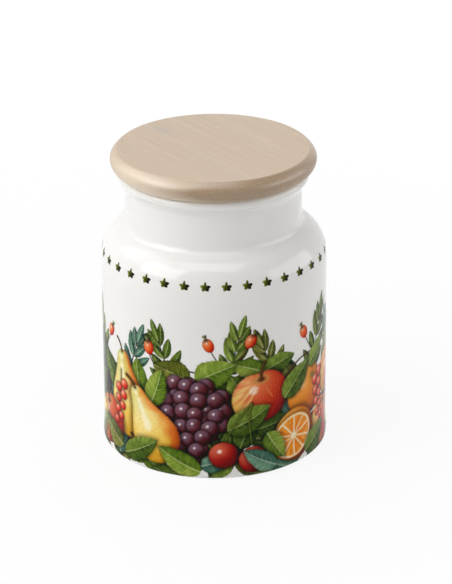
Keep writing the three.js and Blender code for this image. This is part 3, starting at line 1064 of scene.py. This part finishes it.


# Beech, turned and fine sanded to a soft sheen: pale greyish brown, with faint straight growth lines
# and fibres along the grain, short dark ray flecks and one grey stain. The rounded edge is painted
# paler as it turns away from the top, partly side grain and partly a painted sheen, and is dark with
# pores where it cuts across the fibres.
def turnedBeech(v):
    material, tree = newMaterial("turned_beech")
    coords = addNode(tree, "ShaderNodeTexCoord")
    turn = np.radians(v["grainTurn"])
    inGrain = addNode(tree, "ShaderNodeMapping", {
        "Vector": (coords, "Object"), "Rotation": (0, 0, turn), "Scale": (mm, mm, mm),
    }, vector_type="TEXTURE")
    fibre = addNode(tree, "ShaderNodeMapping", {  # 12 mm long, drawn coarse so that they show
        "Vector": (inGrain, 0), "Scale": (1 / 12, 1 / 0.9, 1 / 0.9),
    })
    fibres = addNode(tree, "ShaderNodeTexNoise", {"Vector": (fibre, 0), "Scale": 1.0, "Detail": 3.0})
    growth = addNode(tree, "ShaderNodeMapping", {  # growth lines 1.5 mm apart
        "Vector": (inGrain, 0), "Scale": (1 / 95, 1 / 1.5, 1 / 7),
    })
    lines = addNode(tree, "ShaderNodeTexNoise", {
        "Vector": (growth, 0), "Scale": 1.0, "Detail": 2.0, "Distortion": 0.5,
    })
    board = addNode(tree, "ShaderNodeMapping", {  # warmer stretches, 17 mm wide
        "Vector": (inGrain, 0), "Scale": (1 / 70, 1 / 17, 1 / 17),
    })
    boards = addNode(tree, "ShaderNodeTexNoise", {"Vector": (board, 0), "Scale": 1.0, "Detail": 1.0})
    figure = addNode(tree, "ShaderNodeMath", {
        0: (fibres, "Fac"), 1: 0.8, 2: (lines, "Fac"),
    }, operation="MULTIPLY_ADD")
    tone = addNode(tree, "ShaderNodeMapRange", {"Value": (figure, 0), "From Min": 0.5, "From Max": 1.3})
    wood = addNode(tree, "ShaderNodeMix", {
        0: (tone, 0), 6: paint(v["early"]), 7: paint(v["late"]),
    }, data_type="RGBA")
    warmth = addNode(tree, "ShaderNodeMapRange", {
        "Value": (boards, "Fac"), "From Min": 0.4, "From Max": 0.7, "To Max": 0.55,
    })
    warmed = addNode(tree, "ShaderNodeMix", {
        0: (warmth, 0), 6: (wood, 2), 7: paint(v["warm"]),
    }, data_type="RGBA")
    stainMap = addNode(tree, "ShaderNodeMapping", {
        "Vector": (coords, "Object"), "Rotation": (0, 0, turn), "Scale": (13 * mm, 5 * mm, 26 * mm),
        "Location": (v["stain"][0] * mm, v["stain"][1] * mm, rimHeight * mm),
    }, vector_type="TEXTURE")
    stain = addNode(tree, "ShaderNodeTexGradient", {"Vector": (stainMap, 0)}, gradient_type="SPHERICAL")
    soft = addNode(tree, "ShaderNodeMapRange", {"Value": (stain, "Fac"), "To Max": 0.8})
    stained = addNode(tree, "ShaderNodeMix", {
        0: (soft, 0), 6: (warmed, 2), 7: paint(v["grey"]),
    }, data_type="RGBA")
    facing = addNode(tree, "ShaderNodeSeparateXYZ", {0: (coords, "Normal")})
    # painted sheen, partly side grain: the bevel and edge are painted paler the more they face sideways
    side = addNode(tree, "ShaderNodeMapRange", {  # 0 on the flat top, rising over the bevel
        "Value": (facing, "Z"), "From Min": 0.95, "From Max": 0.6, "To Max": 0.85,
    })
    sheenedSides = addNode(tree, "ShaderNodeMix", {
        0: (side, 0), 6: (stained, 2), 7: paint(v["sideGrainAndSheen"]),
    }, data_type="RGBA")
    across = addNode(tree, "ShaderNodeVectorMath", {
        0: (coords, "Normal"), 1: (np.cos(turn), np.sin(turn), 0),
    }, operation="DOT_PRODUCT")
    cut = addNode(tree, "ShaderNodeMath", {0: (across, "Value"), 1: 2.0}, operation="POWER")
    sawn = addNode(tree, "ShaderNodeMapRange", {"Value": (cut, 0), "From Min": 0.0, "From Max": 0.44})
    pore = addNode(tree, "ShaderNodeTexVoronoi", {"Vector": (inGrain, 0), "Scale": 1 / 0.9})
    pores = addNode(tree, "ShaderNodeMapRange", {
        "Value": (pore, "Distance"), "From Min": 0.15, "From Max": 0.5, "To Min": 0.95, "To Max": 0.8,
    })
    ends = addNode(tree, "ShaderNodeMath", {0: (sawn, 0), 1: (pores, 0)}, operation="MULTIPLY")
    ended = addNode(tree, "ShaderNodeMix", {
        0: (ends, 0), 6: (sheenedSides, 2), 7: paint(v["endGrain"]),
    }, data_type="RGBA")
    fleckMap = addNode(tree, "ShaderNodeMapping", {  # ray flecks 3.2 mm long and half a millimetre wide
        "Vector": (inGrain, 0), "Scale": (1 / 3.2, 1 / 0.5, 1 / 0.5),
    })
    flecks = addNode(tree, "ShaderNodeTexVoronoi", {"Vector": (fleckMap, 0), "Scale": 1.0})
    fleck = addNode(tree, "ShaderNodeMapRange", {
        "Value": (flecks, "Distance"), "From Min": 0.3, "From Max": 0.1, "To Max": 0.4,
    })
    flecked = addNode(tree, "ShaderNodeMix", {
        0: (fleck, 0), 6: (ended, 2), 7: paint(v["fleck"]),
    }, data_type="RGBA")
    rough = addNode(tree, "ShaderNodeMapRange", {
        "Value": (fibres, "Fac"), "To Min": 0.3, "To Max": 0.42,
    })
    relief = addNode(tree, "ShaderNodeBump", {
        "Height": (fibres, "Fac"), "Strength": 0.2, "Distance": 0.05 * mm,
    })
    surface = addNode(tree, "ShaderNodeBsdfPrincipled", {
        "Base Color": (flecked, 2), "Roughness": (rough, 0), "IOR": 1.6, "Specular IOR Level": 0.85,
        "Normal": (relief, 0),
    })
    finishMaterial(tree, (surface, 0))
    return material


lidPiece = revolve("beech_lid", lidOutline(lid), lid["around"], turnedBeech(lid))
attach(lidPiece, "lid")
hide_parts("wooden_lid")
print("lid turned", len(lidPiece.data.polygons), "faces")

# Seal: a silicone band in the groove with soft lips that lean upwards, mm
seal = {
    "gap": 0.2,  # between the band and the groove
    "squeeze": 0.15,  # room left between the lips and the bore
    "band": 1.6,
    "lips": 3,
    "lipRoot": 1.3,
    "lipTip": 0.4,
    "lipRise": 0.8,
    "corner": 0.3,  # bevel along the band's inner edges
    "around": 192,
    "silicone": "e4e3dc",
    "clouded": "d6d5cc",
}


# Up the outside of the band, out and back round each lip's tip, and down the inside
def sealOutline(v):
    corner = v["corner"]
    inner = grooveRadius + v["gap"]
    outer = inner + v["band"]
    bottom, top = grooveBottom + v["gap"], grooveTop - v["gap"]
    tipRadius = boreRadius - v["squeeze"] - v["lipTip"]
    pitch = (top - bottom) / v["lips"]
    stretches = [(inner + corner, bottom), (outer, bottom)]
    for k in range(v["lips"]):
        height = bottom + (k + 0.5) * pitch
        tip = (tipRadius, height + v["lipRise"])
        lean = bearing((outer, height), tip)
        stretches.append((outer, height - v["lipRoot"] / 2))
        stretches.append(arc(tip, v["lipTip"], lean - 90, lean + 90, 22))
        stretches.append((outer, height + v["lipRoot"] / 2))
    stretches += [(outer, top), (inner + corner, top), (inner, top - corner), (inner, bottom + corner)]
    return joined(*stretches)


# Silicone, moulded and left milky: soft satin sheen, slightly cloudy inside
def mouldedSilicone(v):
    material, tree = newMaterial("milky_silicone")
    coords = addNode(tree, "ShaderNodeTexCoord")
    cloud = addNode(tree, "ShaderNodeTexNoise", {
        "Vector": (coords, "Object"), "Scale": 1 / (6 * mm), "Detail": 3.0,
    })
    colour = addNode(tree, "ShaderNodeMix", {
        0: (cloud, "Fac"), 6: paint(v["silicone"]), 7: paint(v["clouded"]),
    }, data_type="RGBA")
    rough = addNode(tree, "ShaderNodeMapRange", {
        "Value": (cloud, "Fac"), "To Min": 0.34, "To Max": 0.46,
    })
    skin = addNode(tree, "ShaderNodeTexNoise", {"Vector": (coords, "Object"), "Scale": 1 / (0.6 * mm)})
    relief = addNode(tree, "ShaderNodeBump", {
        "Height": (skin, "Fac"), "Strength": 0.2, "Distance": 0.02 * mm,
    })
    rubber = addNode(tree, "ShaderNodeBsdfPrincipled", {
        "Base Color": (colour, 2), "Roughness": (rough, 0), "IOR": 1.41, "Normal": (relief, 0),
        "Subsurface Weight": 0.3, "Subsurface Radius": (1.0, 0.9, 0.8), "Subsurface Scale": 1.5 * mm,
    })
    finishMaterial(tree, (rubber, 0))
    return material


silicone = mouldedSilicone(seal)
sealPiece = revolve("silicone_seal", sealOutline(seal), seal["around"], silicone, ring=True)
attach(sealPiece, "seal")
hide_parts("seal_ring")
print("seal moulded", len(sealPiece.data.polygons), "faces")
